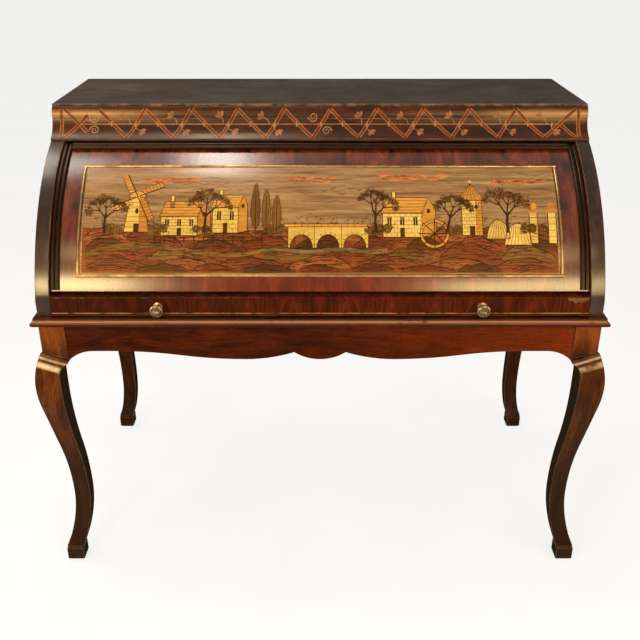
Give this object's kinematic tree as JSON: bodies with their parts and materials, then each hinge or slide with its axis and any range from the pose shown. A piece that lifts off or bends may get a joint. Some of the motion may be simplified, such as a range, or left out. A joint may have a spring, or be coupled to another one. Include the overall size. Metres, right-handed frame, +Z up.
{
  "type": "cylinder desk",
  "caption": "Mahogany cylinder desk on cabriole legs: pulling the brass-knobbed writing slide forward rolls the quarter-round inlaid fall up and back over a nest of pigeonholes.",
  "frame": {"origin": "centre of the bounding box on the floor", "axes": "+X to the right along the desk's width, +Y to the back, +Z up; the knobs face -Y"},
  "size_m": [1.314, 0.6878, 1.0991],
  "materials": {
    "mahogany": "worn polish",
    "marquetry": "inlaid veneers, polished",
    "plain_wood": "oiled",
    "brass": "aged",
    "iron": "blackened",
    "leather": "worn skiver"
  },
  "bodies": {
    "case": {"leg_front_left": "mahogany", "leg_front_right": "mahogany", "leg_back_left": "mahogany", "leg_back_right": "mahogany", "apron_front": "mahogany", "apron_back": "plain_wood", "apron_left": "mahogany", "apron_right": "mahogany", "deck_board": "plain_wood", "deck_moulding_front": "mahogany", "deck_moulding_left": "mahogany", "deck_moulding_right": "mahogany", "side_left": "mahogany", "side_right": "mahogany", "back_panel": "plain_wood", "top_board": "mahogany", "frieze": "marquetry", "guide_bead_left": "mahogany", "guide_bead_right": "mahogany", "runner_left": "plain_wood", "runner_right": "plain_wood", "interior_shelf": "mahogany", "nest_end_left": "mahogany", "nest_end_right": "mahogany", "nest_top_board": "mahogany", "nest_rail": "mahogany", "pigeonhole_dividers": "mahogany", "drawer_dividers": "mahogany", "lever_pivot_left": "iron", "lever_pivot_right": "iron"},
    "fall": {"fall_shell": "mahogany", "fall_picture": "marquetry", "fall_bead_left": "brass", "fall_bead_right": "brass", "fall_bead_top": "brass", "fall_bead_bottom": "brass", "fall_link_left": "iron", "fall_link_right": "iron"},
    "slide": {"slide_board": "mahogany", "slide_front": "mahogany", "slide_leather": "leather", "slide_knob_left": "brass", "slide_knob_right": "brass", "slide_link_left": "iron", "slide_link_right": "iron"},
    "levers": {"lever_left": "iron", "lever_right": "iron"},
    "drawer_1": {"drawer_1_box": "plain_wood", "drawer_1_front": "mahogany", "drawer_1_knob": "brass"},
    "drawer_2": {"drawer_2_box": "plain_wood", "drawer_2_front": "mahogany", "drawer_2_knob": "brass"},
    "drawer_3": {"drawer_3_box": "plain_wood", "drawer_3_front": "mahogany", "drawer_3_knob": "brass"}
  },
  "joints": [
    {"name": "slide_pull", "type": "slide", "parent": "case", "child": "slide", "axis": [0, -1, 0], "range_m": [0, 0.23395]},
    {"name": "fall_turn", "type": "hinge", "parent": "case", "child": "fall", "pos_m": [0, 0.15366, 0.57323], "axis": [-1, 0, 0], "range_deg": [0, 42]},
    {"name": "lever_rock", "type": "hinge", "parent": "case", "child": "levers", "pos_m": [0, 0.12553, 0.83991], "axis": [-1, 0, 0], "range_deg": [0, 110]},
    {"name": "drawer_1_pull", "type": "slide", "parent": "case", "child": "drawer_1", "axis": [0, -1, 0], "range_m": [0, 0.15]},
    {"name": "drawer_2_pull", "type": "slide", "parent": "case", "child": "drawer_2", "axis": [0, -1, 0], "range_m": [0, 0.15]},
    {"name": "drawer_3_pull", "type": "slide", "parent": "case", "child": "drawer_3", "axis": [0, -1, 0], "range_m": [0, 0.15]}
  ],
  "couplings": [
    {"joint": "fall_turn", "follows": "slide_pull", "rad_per_m": 3.1333},
    {"joint": "lever_rock", "follows": "slide_pull", "rad_per_m": 8.2062}
  ]
}
